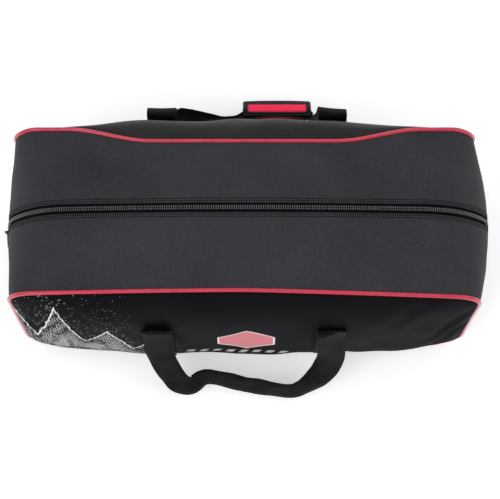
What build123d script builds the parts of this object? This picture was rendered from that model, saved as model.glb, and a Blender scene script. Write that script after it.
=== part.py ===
from build123d import *
import os
from math import cos, radians, sin, sqrt

# Soft-sided hockey equipment bag: two bulging side panels joined by a gusset
# band, a zip along the top that runs down both ends, and two webbing handles.
# +X runs along the bag's length, -Y is the front, +Z is up, millimetres.
# The origin is the centre of the base's underside.

# %% Driving dimensions of the bag's body
panel_length = 806.0  # front and rear panels, end to end
panel_height = 335.0  # floor to the top seams
panel_corner = 45.0  # corner radius of both panels
gusset_width = 292.0  # from the front seam to the rear seam
crown_rise = 27.0  # height of the zip above the top seams
crown_corner = 75.0  # radius on which the zip turns down the ends
end_bulge = 16.0  # how far each end swells past the panels
front_bulge = 38.0  # how far the front panel swells past its seam
rear_bulge = 51.0  # the same for the rear panel
swell_rounding = 34.0  # rounding of a swollen panel's rim
fabric = 3.0  # padded wall of coated polyester
piping_radius = 3.0  # corded piping sewn into each panel seam
board_thickness = 3.0  # stiff board that lies in the base
board_corner = 20.0
board_margin = 12.0  # from the board's ends to the ends of the flat floor
binding_width = 9.0  # tape that binds each seam inside
binding_thickness = 1.5

# %% Driving dimensions of the zip
zip_slot_width = 16.0  # window between the two fabric edges
zip_tail = 82.0  # straight run of the zip down each end
tape_width = 17.0  # each half of the zip tape
tape_thickness = 1.2
coil_width = 3.0  # each half of the coil
coil_height = 2.8
coil_gap = 1.2  # between the two coils, where the slider's post runs
tape_drop = 0.6  # the tape lies this far under the fabric
tape_setback = 0.2  # each tape's edge behind its coil's
stop_length = 4.0
slider_length = 14.0
slider_width = 12.0
slider_plate = 1.8
bridge_width = 2.6
bridge_wall = 2.0
bridge_length = 11.5
bridge_height = 6.4
pull_wire = 1.2  # radius of the pull's wire
pull_length = 46.0
pull_width = 14.0
pull_tilt = 6.0  # degrees that the pull stands off the end at rest
pull_skew = 15.0  # degrees that the pull leans towards the front

# %% Driving dimensions of the webbing handles
strap_width = 50.8
strap_thickness = 2.5
strap_spacing = 304.0  # between the two sewn straps of one handle
strap_foot = 68.0  # degrees of the panel's lower rim that the sewn webbing follows
fold_drop = 71.0  # from the top seams down to where the webbing folds over
handle_thickness = 3.0
handle_reach = 240.0  # from the fold to the far edge of the loop
front_corner = 80.0  # bend of the front loop's webbing, to its centre line
rear_corner = 44.0
front_tilt = 15.0  # degrees off plumb at rest
rear_tilt = 18.0

# %% Driving dimensions of the grip wrap on the rear handle
wrap_length = 125.0
wrap_centre = 55.0  # along the handle's crossbar, from the bag's middle
wrap_foam_margin = 2.6  # foam past each edge of the webbing
wrap_foam_thick = 30.0
wrap_skin = 2.0
wrap_panel = 1.2  # ribbed coloured panels on the wrap
wrap_border = 6.0  # bound edge left round each coloured panel
strip_thickness = 0.7  # hook strip and loop strip
strip_height = 7.0

# %% Clearances
fit_gap = 0.3  # between pieces that are sewn or laid together
hinge_gap = 0.4  # beside a fold that turns
run_gap = 0.4  # round the zip slider

# %% Positions that follow from the driving dimensions
half_length = panel_length / 2
bulge_edge = min(swell_rounding, panel_corner - piping_radius)
fold_height = panel_height - fold_drop
wrap_foam_wide = strap_width + 2 * wrap_foam_margin
seam_y = gusset_width / 2
gusset_edge = seam_y - piping_radius
panel_back = seam_y + piping_radius
end_x = half_length + end_bulge
crown_z = panel_height + crown_rise
mouth_half = end_x - crown_corner
floor_half = half_length - panel_corner
front_face = panel_back + front_bulge
rear_face = panel_back + rear_bulge

crown_radius = (seam_y**2 + crown_rise**2) / (2 * crown_rise)
crown_centre = crown_z - crown_radius
edge_swing = 0.6 * fabric  # room for the corners of a turning edge
hinge_y = gusset_edge - hinge_gap - edge_swing
hinge_z = crown_centre + sqrt((crown_radius - fabric / 2) ** 2 - hinge_y**2)

tape_top = fabric + tape_drop
tail_top = crown_z - crown_corner
tail_bottom = tail_top - zip_tail
slider_z = tail_bottom + stop_length + slider_length / 2 + 2 * run_gap
coil_top = tape_top - coil_height
pull_z = slider_z
pull_x = -end_x + coil_top - run_gap - slider_plate - pull_wire - run_gap


def panel_outline(plane, inset):
    """Rounded outline of a side panel, standing on the floor."""
    with BuildSketch(plane) as outline:
        with Locations((0, panel_height / 2)):
            RectangleRounded(
                panel_length - 2 * inset,
                panel_height - 2 * inset,
                panel_corner - inset,
            )
    return outline.sketch


def gusset_section(y, inset):
    """Outline of the gusset band across the bag, square to Y."""
    at_middle = y == 0
    reach = (end_x if at_middle else half_length) - inset
    top = (crown_z if at_middle else panel_height) - inset
    top_radius = (crown_corner if at_middle else panel_corner) - inset
    low_radius = panel_corner - inset
    with BuildSketch(Plane.XZ.offset(-y)) as section:
        with Locations((0, (top + inset) / 2)):
            Rectangle(2 * reach, top - inset)
        fillet(section.vertices().group_by(Axis.Y)[-1], top_radius)
        fillet(section.vertices().group_by(Axis.Y)[0], low_radius)
    return section.sketch


def gusset_block(inset):
    """Solid swollen block that the gusset band wraps."""
    with BuildPart() as block:
        loft(sections=[gusset_section(y, inset) for y in (-seam_y, 0, seam_y)])
    return block.part


def crown_strip(y_near, y_far, depth_out, depth_in):
    """Area of the crowned top, square to X, between two depths under it."""
    with BuildSketch(Plane.YZ) as strip:
        with Locations((0, crown_centre)):
            Circle(crown_radius - depth_out)
            Circle(crown_radius - depth_in, mode=Mode.SUBTRACT)
        with Locations(((y_near + y_far) / 2, crown_z)):
            Rectangle(abs(y_far - y_near), crown_rise * 4, mode=Mode.INTERSECT)
    return strip.sketch


def tail_strip(side, y, depth_out, depth_in, z_low):
    """Area of the zip's run down one end and round its corner, square to Y."""
    outer = crown_corner - depth_out
    inner = crown_corner - depth_in
    with BuildSketch(Plane.XZ.offset(-y)) as strip:
        with Locations((side * mouth_half, tail_top)):
            Circle(outer)
            Circle(inner, mode=Mode.SUBTRACT)
            Rectangle(
                crown_corner,
                crown_corner,
                align=(Align.MAX if side < 0 else Align.MIN, Align.MIN),
                mode=Mode.INTERSECT,
            )
        with Locations((side * (mouth_half + (outer + inner) / 2), z_low)):
            Rectangle(
                outer - inner, tail_top - z_low, align=(Align.CENTER, Align.MIN)
            )
    return strip.sketch


# %% Front and rear panels: swollen trays, open towards the bag's inside
with BuildPart() as front_panel:
    extrude(panel_outline(Plane.XZ.offset(panel_back), 0), amount=front_bulge)
    fillet(front_panel.faces().sort_by(Axis.Y)[0].edges(), bulge_edge)
    offset(
        amount=-fabric, openings=front_panel.faces().filter_by(Axis.Y).sort_by(Axis.Y)[-1]
    )
front_panel.part.label = "front_panel"

with BuildPart() as rear_panel:
    extrude(panel_outline(Plane.XZ.offset(-panel_back), 0), amount=-rear_bulge)
    fillet(rear_panel.faces().sort_by(Axis.Y)[-1].edges(), bulge_edge)
    offset(
        amount=-fabric, openings=rear_panel.faces().filter_by(Axis.Y).sort_by(Axis.Y)[0]
    )
rear_panel.part.label = "rear_panel"

# %% End panels: each wraps one end of the gusset, with a window for the zip
with BuildPart() as left_end_panel:
    add(gusset_block(0))
    add(gusset_block(fabric), mode=Mode.SUBTRACT)
    with Locations((-mouth_half - fit_gap, 0, crown_z / 2)):
        Box(
            end_x, 2 * gusset_edge, 2 * crown_z,
            align=(Align.MAX, Align.CENTER, Align.CENTER), mode=Mode.INTERSECT,
        )
    with Locations((-floor_half - fit_gap, 0, 0)):
        Box(
            end_x, gusset_width, 4 * fabric,
            align=(Align.MIN, Align.CENTER, Align.CENTER), mode=Mode.SUBTRACT,
        )
    with Locations((-mouth_half, 0, tail_bottom)):
        Box(
            2 * crown_corner, zip_slot_width, crown_z,
            align=(Align.MAX, Align.CENTER, Align.MIN), mode=Mode.SUBTRACT,
        )
left_end_panel.part.label = "left_end_panel"

with BuildPart() as right_end_panel:
    add(mirror(left_end_panel.part, about=Plane.YZ, mode=Mode.PRIVATE))
right_end_panel.part.label = "right_end_panel"

# %% Floor of the gusset, and the stiff board that lies on it
with BuildPart() as bottom_panel:
    with Locations((0, 0, fabric / 2)):
        Box(2 * floor_half, 2 * gusset_edge, fabric)
bottom_panel.part.label = "bottom_panel"

with BuildPart() as base_board:
    with BuildSketch(Plane.XY.offset(fabric + fit_gap)):
        RectangleRounded(
            2 * (floor_half - board_margin),
            2 * (gusset_edge - binding_width),
            board_corner,
        )
    extrude(amount=board_thickness)
base_board.part.label = "base_board"

# %% Top panels: the two halves of the mouth, hinged along their seams
with BuildPart() as top_front_panel:
    edge_y = -hinge_y - fabric / 2
    top_strip = crown_strip(edge_y, -zip_slot_width / 2, 0, fabric)
    extrude(top_strip, amount=mouth_half - hinge_gap, both=True)
top_front_panel.part.label = "top_front_panel"

with BuildPart() as top_rear_panel:
    add(mirror(top_front_panel.part, about=Plane.XZ, mode=Mode.PRIVATE))
top_rear_panel.part.label = "top_rear_panel"

# %% Piping corded into the two panel seams, and the binding tape inside them
piping_loops = {}
for side, name in ((-1, "front_piping"), (1, "rear_piping")):
    with BuildPart() as piping:
        with BuildLine(Plane.XZ.offset(-side * seam_y)) as seam:
            FilletPolyline(
                (-half_length, piping_radius),
                (half_length, piping_radius),
                (half_length, panel_height),
                (-half_length, panel_height),
                radius=panel_corner,
                close=True,
            )
        start = seam.edges().sort_by(Axis.Z)[0]
        with BuildSketch(Plane(start @ 0.5, z_dir=start % 0.5)):
            Circle(piping_radius)
        sweep(path=seam.wires()[0])
    piping.part.label = name
    piping_loops[name] = piping.part

binding_loops = {}
for side, name in ((-1, "front_seam_binding"), (1, "rear_seam_binding")):
    with BuildPart() as binding:
        seam_plane = Plane.XZ.offset(-side * gusset_edge)
        tape_inset = fabric + fit_gap
        extrude(panel_outline(seam_plane, tape_inset), amount=side * binding_width)
        extrude(
            panel_outline(seam_plane, tape_inset + binding_thickness),
            amount=side * binding_width,
            mode=Mode.SUBTRACT,
        )
    binding.part.label = name
    binding_loops[name] = binding.part

# %% Zip tapes and coils along the mouth
tape_y = coil_gap / 2 + tape_setback
mouth_zip = {}
for side, name in ((-1, "front"), (1, "rear")):
    with BuildPart() as tape:
        with BuildSketch(Plane.YZ):
            with Locations((side * (tape_y + tape_width / 2), crown_z - tape_top)):
                Rectangle(tape_width, tape_thickness, align=(Align.CENTER, Align.MAX))
        extrude(amount=mouth_half - hinge_gap, both=True)
    tape.part.label = "zip_tape_" + name
    mouth_zip[tape.part.label] = tape.part
    with BuildPart() as coil:
        with BuildSketch(Plane.YZ) as coil_end:
            with Locations((side * (coil_gap + coil_width) / 2, crown_z - tape_top)):
                Rectangle(coil_width, coil_height, align=(Align.CENTER, Align.MIN))
            fillet(coil_end.vertices().group_by(Axis.Y)[-1], coil_width / 4)
        extrude(amount=mouth_half - hinge_gap, both=True)
    coil.part.label = "zip_coil_" + name
    mouth_zip[coil.part.label] = coil.part

# %% Zip tapes, coils and stops down the two ends: front and rear halves
tail_zip = {}
for side, name in ((-1, "left"), (1, "right")):
    with BuildPart() as tail_tapes:
        for half in (-1, 1):
            tape_low = tail_bottom - stop_length
            tape_in = tape_top + tape_thickness
            tape_side = tail_strip(side, half * tape_y, tape_top, tape_in, tape_low)
            extrude(tape_side, amount=-half * tape_width)
    tail_tapes.part.label = name + "_zip_tapes"
    tail_zip[tail_tapes.part.label] = tail_tapes.part
    with BuildPart() as tail_coils:
        for half in (-1, 1):
            coil_low = tail_bottom + stop_length
            coil_side = tail_strip(side, half * coil_gap / 2, coil_top, tape_top, coil_low)
            extrude(coil_side, amount=-half * coil_width)
    tail_coils.part.label = name + "_zip_coils"
    tail_zip[tail_coils.part.label] = tail_coils.part
    with BuildPart() as stop:
        with Locations((side * (end_x - tape_top), 0, tail_bottom)):
            Box(
                coil_height, 2 * coil_width + coil_gap, stop_length - fit_gap,
                align=(Align.MIN if side > 0 else Align.MAX, Align.CENTER, Align.MIN),
            )
        fillet(stop.edges().filter_by(Axis.Z), coil_height / 5)
    stop.part.label = name + "_zip_stop"
    tail_zip[stop.part.label] = stop.part

# %% Zip slider on the left end: outer plate, inner plate, post and bridge
plate_out = -end_x + coil_top - run_gap
plate_in = -end_x + tape_top + tape_thickness + run_gap
with BuildPart() as zip_slider:
    with Locations((plate_out, 0, slider_z)):
        Box(
            slider_plate, slider_width, slider_length,
            align=(Align.MAX, Align.CENTER, Align.CENTER),
        )
    with Locations((plate_in, 0, slider_z)):
        Box(
            slider_plate, slider_width, slider_length,
            align=(Align.MIN, Align.CENTER, Align.CENTER),
        )
    fillet(zip_slider.edges().filter_by(Axis.X), slider_width / 4)
    with Locations((plate_out - slider_plate / 2, 0, slider_z)):
        Box(
            plate_in - plate_out + slider_plate, coil_gap - 2 * fit_gap, slider_length / 3,
            align=(Align.MIN, Align.CENTER, Align.CENTER),
        )
    with BuildSketch(Plane.XZ) as bridge_side:
        with Locations((plate_out - slider_plate / 2, slider_z)):
            Rectangle(
                bridge_height + slider_plate / 2, bridge_length,
                align=(Align.MAX, Align.CENTER),
            )
        fillet(bridge_side.vertices().group_by(Axis.X)[0], bridge_wall)
        with Locations((plate_out - slider_plate, slider_z)):
            Rectangle(
                bridge_height - slider_plate / 2 - bridge_wall + fit_gap,
                bridge_length - 2 * bridge_wall,
                align=(Align.MAX, Align.CENTER), mode=Mode.SUBTRACT,
            )
    extrude(amount=bridge_width / 2, both=True)
zip_slider.part.label = "zip_slider"

# %% Pull: a wire loop threaded under the slider's bridge
tilt = radians(pull_tilt)
skew = radians(pull_skew)
pull_plane = Plane(
    (pull_x, 0, pull_z),
    x_dir=(sin(skew) * sin(tilt), -cos(skew), sin(skew) * cos(tilt)),
    z_dir=(-cos(tilt), 0, sin(tilt)),
)
with BuildPart() as zip_pull:
    turn = pull_width / 2 - pull_wire
    low_turn = 2 * pull_wire + turn - pull_length
    with BuildLine(pull_plane) as pull_path:
        front_leg = Line((-turn, -turn), (-turn, low_turn))
        ThreePointArc(front_leg @ 1, (0, low_turn - turn), (turn, low_turn))
        rear_leg = Line((turn, low_turn), (turn, -turn))
        ThreePointArc(rear_leg @ 1, (0, 0), front_leg @ 0)
    with BuildSketch(Plane(front_leg @ 0.5, z_dir=front_leg % 0.5)):
        Circle(pull_wire)
    sweep(path=pull_path.wires()[0])
zip_pull.part.label = "zip_pull"

# %% Webbing sewn up each panel, from the rounded lower rim to the fold
sewn_straps = {}
for side, face, name in ((-1, front_face, "front"), (1, rear_face, "rear")):
    rim_centre = (side * (face - bulge_edge), bulge_edge)
    rim_start = 0 if side > 0 else 180
    back = side * (face + fit_gap)
    outside = back + side * strap_thickness
    inner_lie = bulge_edge + fit_gap
    outer_lie = inner_lie + strap_thickness
    for hand, hand_name in ((-1, "left"), (1, "right")):
        with BuildPart() as strap:
            with BuildSketch(Plane.YZ.offset(hand * strap_spacing / 2)):
                with BuildLine():
                    inner = CenterArc(rim_centre, inner_lie, rim_start, -side * strap_foot)
                    outer = CenterArc(rim_centre, outer_lie, rim_start, -side * strap_foot)
                    Polyline(
                        inner @ 0, (back, fold_height), (outside, fold_height), outer @ 0
                    )
                    Line(outer @ 1, inner @ 1)
                make_face()
            extrude(amount=strap_width / 2, both=True)
        strap.part.label = name + "_" + hand_name + "_strap"
        sewn_straps[strap.part.label] = strap.part

# %% Handle loops: webbing that hangs from its two folds
fold_stand = fit_gap + strap_thickness + hinge_gap + handle_thickness / 2
front_fold_y = -(front_face + fold_stand)
rear_fold_y = rear_face + fold_stand
front_lie = Plane(
    (0, front_fold_y, fold_height),
    x_dir=(1, 0, 0),
    z_dir=(0, -cos(radians(front_tilt)), sin(radians(front_tilt))),
)
rear_lie = Plane(
    (0, rear_fold_y, fold_height),
    x_dir=(-1, 0, 0),
    z_dir=(0, cos(radians(rear_tilt)), sin(radians(rear_tilt))),
)
crossbar = handle_reach - strap_width / 2
handle_loops = {}
for lie, bend, fold_y, name in (
    (front_lie, front_corner, front_fold_y, "front_handle_webbing"),
    (rear_lie, rear_corner, rear_fold_y, "rear_handle_webbing"),
):
    with BuildPart() as loop:
        with BuildSketch(lie):
            with BuildLine():
                FilletPolyline(
                    (-strap_spacing / 2, 0),
                    (-strap_spacing / 2, -crossbar),
                    (strap_spacing / 2, -crossbar),
                    (strap_spacing / 2, 0),
                    radius=bend,
                )
            trace(line_width=strap_width)
        extrude(amount=handle_thickness / 2, both=True)
        for middle in (-strap_spacing / 2, strap_spacing / 2):
            with BuildSketch(Plane.YZ.offset(middle)):
                with Locations((fold_y, fold_height)):
                    Circle(handle_thickness / 2)
            extrude(amount=strap_width / 2, both=True)
    loop.part.label = name
    handle_loops[name] = loop.part

# %% Grip wrap round the rear handle's crossbar, in section square to X
wrap_section = Plane(
    rear_lie.from_local_coords((0, -crossbar, 0)),
    x_dir=(0, sin(radians(rear_tilt)), -cos(radians(rear_tilt))),
    z_dir=(1, 0, 0),
)
wrap_start = wrap_section.offset(wrap_centre)
sleeve_grow = 2 * (fit_gap + wrap_skin)
flap_inner_grow = sleeve_grow + 2 * (2 * strip_thickness + 3 * fit_gap)
flap_outer_grow = flap_inner_grow + 2 * wrap_skin
half_wrap = wrap_length / 2
half_panel = half_wrap - wrap_border


def wrap_ring(grow_out, grow_in, low, high):
    """Area between two slots round the crossbar, kept between two heights."""
    with BuildSketch(wrap_start) as ring:
        SlotOverall(wrap_foam_wide + grow_out, wrap_foam_thick + grow_out)
        if grow_in is not None:
            SlotOverall(
                wrap_foam_wide + grow_in, wrap_foam_thick + grow_in, mode=Mode.SUBTRACT
            )
        with Locations((0, (low + high) / 2)):
            Rectangle(2 * wrap_foam_wide, high - low, mode=Mode.INTERSECT)
    return ring.sketch


all_round = wrap_foam_thick
foam_seat = handle_thickness / 2 + fit_gap
wrap_parts = {}
with BuildPart() as grip_foam_inner:
    extrude(wrap_ring(0, None, -all_round, -foam_seat), amount=half_wrap, both=True)
with BuildPart() as grip_foam_outer:
    extrude(wrap_ring(0, None, foam_seat, all_round), amount=half_wrap, both=True)
with BuildPart() as grip_sleeve:
    sleeve_in = sleeve_grow - 2 * wrap_skin
    sleeve_ring = wrap_ring(sleeve_grow, sleeve_in, -all_round, all_round)
    extrude(sleeve_ring, amount=half_wrap, both=True)
with BuildPart() as grip_inner_panel:
    panel_in = sleeve_grow + 2 * fit_gap
    panel_out = panel_in + 2 * wrap_panel
    extrude(wrap_ring(panel_out, panel_in, -all_round, -wrap_border), amount=half_panel, both=True)

# %% Closing flap of the wrap: it hinges on the edge nearest the folds
flap_hinge_u = -(wrap_foam_wide + flap_inner_grow) / 2 - wrap_skin / 2
with BuildPart() as grip_flap:
    extrude(wrap_ring(flap_outer_grow, flap_inner_grow, 0, all_round), amount=half_wrap, both=True)
with BuildPart() as grip_flap_panel:
    panel_in = flap_outer_grow + 2 * fit_gap
    panel_out = panel_in + 2 * wrap_panel
    extrude(wrap_ring(panel_out, panel_in, wrap_border / 2, all_round), amount=half_panel, both=True)

# %% Hook strip in the flap's far edge, and the loop strip it closes on
strip_low = wrap_skin
loop_in = sleeve_grow + 2 * fit_gap
hook_in = flap_inner_grow - 2 * strip_thickness
fastener_strips = {}
for grow_in, name in ((loop_in, "grip_loop_strip"), (hook_in, "grip_hook_strip")):
    with BuildPart() as strip:
        grow_out = grow_in + 2 * strip_thickness
        strip_ring = wrap_ring(grow_out, grow_in, strip_low, strip_low + strip_height)
        extrude(strip_ring, amount=half_panel, both=True)
        split(bisect_by=Plane(wrap_section.origin, z_dir=wrap_section.x_dir))
    strip.part.label = name
    fastener_strips[name] = strip.part

for piece, name in (
    (grip_foam_inner, "grip_foam_inner"),
    (grip_foam_outer, "grip_foam_outer"),
    (grip_sleeve, "grip_sleeve"),
    (grip_inner_panel, "grip_inner_panel"),
    (grip_flap, "grip_flap"),
    (grip_flap_panel, "grip_flap_panel"),
):
    piece.part.label = name
    wrap_parts[name] = piece.part

# %% Write each piece to its own file
pieces = [
    front_panel.part,
    rear_panel.part,
    left_end_panel.part,
    right_end_panel.part,
    bottom_panel.part,
    base_board.part,
    top_front_panel.part,
    top_rear_panel.part,
    zip_slider.part,
    zip_pull.part,
    *piping_loops.values(),
    *binding_loops.values(),
    *mouth_zip.values(),
    *tail_zip.values(),
    *sewn_straps.values(),
    *handle_loops.values(),
    *wrap_parts.values(),
    *fastener_strips.values(),
]
os.makedirs("parts", exist_ok=True)
for piece in pieces:
    export_step(piece, "parts/" + piece.label + ".step")

hinge_lines = {
    "front flap": (-hinge_y, hinge_z),
    "rear flap": (hinge_y, hinge_z),
    "front handle": (front_fold_y, fold_height),
    "rear handle": (rear_fold_y, fold_height),
    "pull, x and z": (pull_x, pull_z),
}
for name, place in hinge_lines.items():
    print(name, "turns at", [round(value, 3) for value in place])
flap_hinge = wrap_section.from_local_coords((flap_hinge_u, 0, 0))
print("grip flap turns at", [round(value, 3) for value in flap_hinge])
print(len(pieces), "pieces")
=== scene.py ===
# %% [markdown]
# A hockey equipment bag, sewn from coated cloth: two big side panels, a strip
# that runs round between them, red piping in both seams, a zip along the top,
# and two webbing handles, one with a padded grip. The CAD frame gives the
# places and the sizes, so this first cell only opens it and keeps its box.

import math

import bpy
import numpy as np
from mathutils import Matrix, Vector
from mathutils.bvhtree import BVHTree


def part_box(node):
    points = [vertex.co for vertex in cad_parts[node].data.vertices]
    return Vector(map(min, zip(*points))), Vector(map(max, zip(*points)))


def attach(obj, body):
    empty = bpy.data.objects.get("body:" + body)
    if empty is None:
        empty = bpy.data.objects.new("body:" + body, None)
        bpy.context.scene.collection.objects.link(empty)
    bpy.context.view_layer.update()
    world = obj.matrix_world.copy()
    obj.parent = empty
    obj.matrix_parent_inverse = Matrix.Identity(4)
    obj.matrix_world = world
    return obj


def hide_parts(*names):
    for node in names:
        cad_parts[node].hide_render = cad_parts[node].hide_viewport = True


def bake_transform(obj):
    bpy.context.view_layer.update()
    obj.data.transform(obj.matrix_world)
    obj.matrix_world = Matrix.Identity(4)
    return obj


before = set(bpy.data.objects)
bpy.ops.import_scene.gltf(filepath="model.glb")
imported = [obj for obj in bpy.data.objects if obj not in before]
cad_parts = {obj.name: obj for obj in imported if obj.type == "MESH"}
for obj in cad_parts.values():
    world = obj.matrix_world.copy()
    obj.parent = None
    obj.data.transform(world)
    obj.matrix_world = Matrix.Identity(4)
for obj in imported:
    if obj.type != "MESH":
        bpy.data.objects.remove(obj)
bpy.context.view_layer.update()

# %% Sizes read from the CAD nodes
panel_low, panel_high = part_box("front_panel")
piping_low, piping_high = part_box("front_piping")
seam_half = panel_high.x
seam_top = panel_high.z
piping_radius = (piping_high.y - piping_low.y) / 2
seam_bottom = piping_radius
seam_y = -(piping_high.y + piping_low.y) / 2
front_face = panel_low.y
rear_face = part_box("rear_panel")[1].y
end_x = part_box("right_end_panel")[1].x
crown_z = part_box("top_front_panel")[1].z
tail_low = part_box("left_zip_coils")[0].z
strap_low, strap_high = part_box("front_right_strap")
strap_x = (strap_low.x + strap_high.x) / 2
strap_width = strap_high.x - strap_low.x
fold_z = strap_high.z
webbing_foot = 0.012
rear_shifts = (0.0025, 0.0060)
strap_places = {
    -1: (-strap_x, strap_x),
    1: (-strap_x + rear_shifts[0], strap_x + rear_shifts[1]),
}
side_names = {-1: "front", 1: "rear"}
print("seam half", seam_half, "seam y", seam_y, "strap x", strap_x)

# %% [markdown]
# Cloth is never smooth. A few waves of one length in different directions,
# added together, give a surface that looks handled. Noise from a texture would
# do too, but these waves are plain numbers that can move the points of any mesh.
# They come from a fixed seed, so the bag is the same each time it is made.


# %% Small helpers for numbers
def ease(value, low, high):
    share = np.clip((np.asarray(value, float) - low) / (high - low), 0, 1)
    return share * share * (3 - 2 * share)


def ripples(points, length, seed, count=9):
    random = np.random.default_rng(seed)
    total = np.zeros(len(points))
    for _ in range(count):
        direction = random.normal(size=3)
        direction *= 2 * math.pi / (length * np.linalg.norm(direction))
        phase = random.uniform(0, 2 * math.pi)
        total += np.cos(points @ direction + phase)
    return total / math.sqrt(count)


def along(points):
    steps = np.linalg.norm(np.diff(points, axis=0), axis=1)
    return np.concatenate([[0], np.cumsum(steps)])


def even(points, count):
    length = along(points)
    wanted = np.linspace(0, length[-1], count)
    return np.stack(
        [np.interp(wanted, length, points[:, i]) for i in range(points.shape[1])],
        axis=1,
    )


def smooth_path(knots, count):
    """A smooth line through all the knots (Catmull-Rom), with even steps."""
    knots = np.asarray(knots, float)
    ends = np.vstack([2 * knots[0] - knots[1], knots, 2 * knots[-1] - knots[-2]])
    line = []
    for i in range(1, len(ends) - 2):
        a, b, c, d = ends[i - 1 : i + 3]
        for t in np.linspace(0, 1, 24, endpoint=False):
            line.append(
                0.5
                * (
                    2 * b
                    + (c - a) * t
                    + (2 * a - 5 * b + 4 * c - d) * t * t
                    + (3 * b - a - 3 * c + d) * t**3
                )
            )
    line.append(knots[-1])
    return even(np.array(line), count)


def unit(vectors):
    vectors = np.asarray(vectors, float)
    return vectors / np.linalg.norm(vectors, axis=-1, keepdims=True)


# %% Small helpers for meshes
def grid_faces(rows, columns, close_rows=False, close_columns=False, flip=False):
    faces = []
    for i in range(rows if close_rows else rows - 1):
        for j in range(columns if close_columns else columns - 1):
            ni, nj = (i + 1) % rows, (j + 1) % columns
            face = (
                i * columns + j, ni * columns + j, ni * columns + nj, i * columns + nj
            )
            faces.append(face[::-1] if flip else face)
    return faces


def end_caps(rows, sides):
    """The two faces that close a swept form with a ring of sides in each row."""
    last = (rows - 1) * sides
    return [tuple(range(sides)), tuple(range(last, last + sides))[::-1]]


def spread(first, second):
    """Two directions on a grid of points as one UV map, in metres."""
    pair = np.broadcast_arrays(np.asarray(first)[:, None], np.asarray(second)[None])
    return np.stack(pair, axis=2).reshape(-1, 2)


def make_piece(name, points, faces, finish, uv=None, smooth=True):
    mesh = bpy.data.meshes.new(name)
    points = np.asarray(points, float).reshape(-1, 3)
    mesh.from_pydata([tuple(p) for p in points], [], faces)
    if uv is not None:
        layer = mesh.uv_layers.new(name="cloth")
        corners = np.empty(len(mesh.loops), dtype=int)
        mesh.loops.foreach_get("vertex_index", corners)
        layer.data.foreach_set("uv", np.asarray(uv, float)[corners].ravel())
    mesh.polygons.foreach_set("use_smooth", [smooth] * len(mesh.polygons))
    mesh.materials.append(finish)
    mesh.update()
    piece = bpy.data.objects.new(name, mesh)
    bpy.context.scene.collection.objects.link(piece)
    return piece


def bake_modifiers(piece):
    """Turns what the modifiers make into the piece's own plain mesh."""
    bpy.context.view_layer.update()
    shape = piece.evaluated_get(bpy.context.evaluated_depsgraph_get())
    mesh = bpy.data.meshes.new_from_object(shape)
    piece.modifiers.clear()
    piece.data = mesh
    mesh.name = piece.name
    return piece


def shade_as(piece, out):
    """Gives the outer and inner wall the normals of the whole surface, so that
    two pieces cut from one surface meet without a line between them."""
    normals = np.vstack([out, -out])
    piece.data.normals_split_custom_set_from_vertices(normals.tolist())


def thicken(piece, thickness, offset=-1.0):
    wall = piece.modifiers.new("wall", "SOLIDIFY")
    wall.thickness = thickness
    wall.offset = offset
    wall.use_even_offset = False
    return bake_modifiers(piece)


# %% [markdown]
# Every finish is made of nodes. Cloth gets a weave: two sets of fine bands
# across each other, which tint the colour a little and raise a small bump.
# The bands read the piece's own UV map, laid out in metres, so that the threads
# follow the cloth round its curves. Black cloth keeps its shine low, because a
# pale room would otherwise turn it grey.


# %% Small helpers for nodes
def add_node(tree, kind, values=None, **settings):
    """Adds a node. A value that is a socket is linked, and any other is set."""
    node = tree.nodes.new(kind)
    for setting, value in settings.items():
        setattr(node, setting, value)
    for socket, value in (values or {}).items():
        if isinstance(value, bpy.types.NodeSocket):
            tree.links.new(value, node.inputs[socket])
        else:
            node.inputs[socket].default_value = value
    return node


def math_node(tree, operation, *values, clamp=False):
    values = dict(enumerate(values))
    node = add_node(tree, "ShaderNodeMath", values, operation=operation, use_clamp=clamp)
    return node.outputs[0]


def noise(tree, place, scale, detail):
    values = {"Vector": place, "Scale": scale, "Detail": detail}
    return add_node(tree, "ShaderNodeTexNoise", values).outputs["Fac"]


def new_finish(name, **values):
    """A material, its node tree and its shader, with the shader's values set."""
    finish = bpy.data.materials.new(name)
    finish.use_nodes = True
    shader = finish.node_tree.nodes["Principled BSDF"]
    for socket, value in values.items():
        shader.inputs[socket.replace("_", " ")].default_value = value
    return finish, finish.node_tree, shader


def two_tones(tree, shader, amount, low, dark, high, light):
    """Colours the shader from dark to light as the amount goes from low to high."""
    ramp = add_node(tree, "ShaderNodeValToRGB", {"Fac": amount})
    for stop, place, colour in zip(ramp.color_ramp.elements, (low, high), (dark, light)):
        stop.position = place
        stop.color = (*colour, 1)
    tree.links.new(ramp.outputs["Color"], shader.inputs["Base Color"])


def relief(tree, shader, height, strength, distance):
    values = {"Height": height, "Strength": strength, "Distance": distance}
    bump = add_node(tree, "ShaderNodeBump", values)
    tree.links.new(bump.outputs["Normal"], shader.inputs["Normal"])


# %% The weave finish
wave_unit = 0.31416  # a wave texture of scale 1 repeats after this many metres
weave_depth = 0.0006


def weave_finish(name, dark, light, thread, roughness, bump, shine=0.2):
    finish, tree, shader = new_finish(name, Roughness=roughness, Specular_IOR_Level=shine)
    place = tree.nodes.new("ShaderNodeTexCoord").outputs
    values = {
        "Vector": place["UV"], "Scale": wave_unit / thread, "Distortion": 0.6, "Detail": 1.0
    }
    warp, weft = (
        add_node(tree, "ShaderNodeTexWave", values, bands_direction=way).outputs["Fac"]
        for way in ("X", "Y")
    )
    cross = math_node(tree, "MULTIPLY", warp, weft)
    fleck = noise(tree, place["Object"], 0.45 / thread, 4.0)
    # Large random blotches, a little lighter and darker, over the whole cloth.
    blotches = noise(tree, place["Object"], 9.0, 3.0)
    height = math_node(tree, "MULTIPLY_ADD", cross, 0.55, fleck)
    shade = math_node(tree, "MULTIPLY_ADD", blotches, 0.5, height)
    two_tones(tree, shader, shade, 0.45, dark, 1.0, light)
    relief(tree, shader, height, bump, weave_depth)
    return finish


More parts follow.
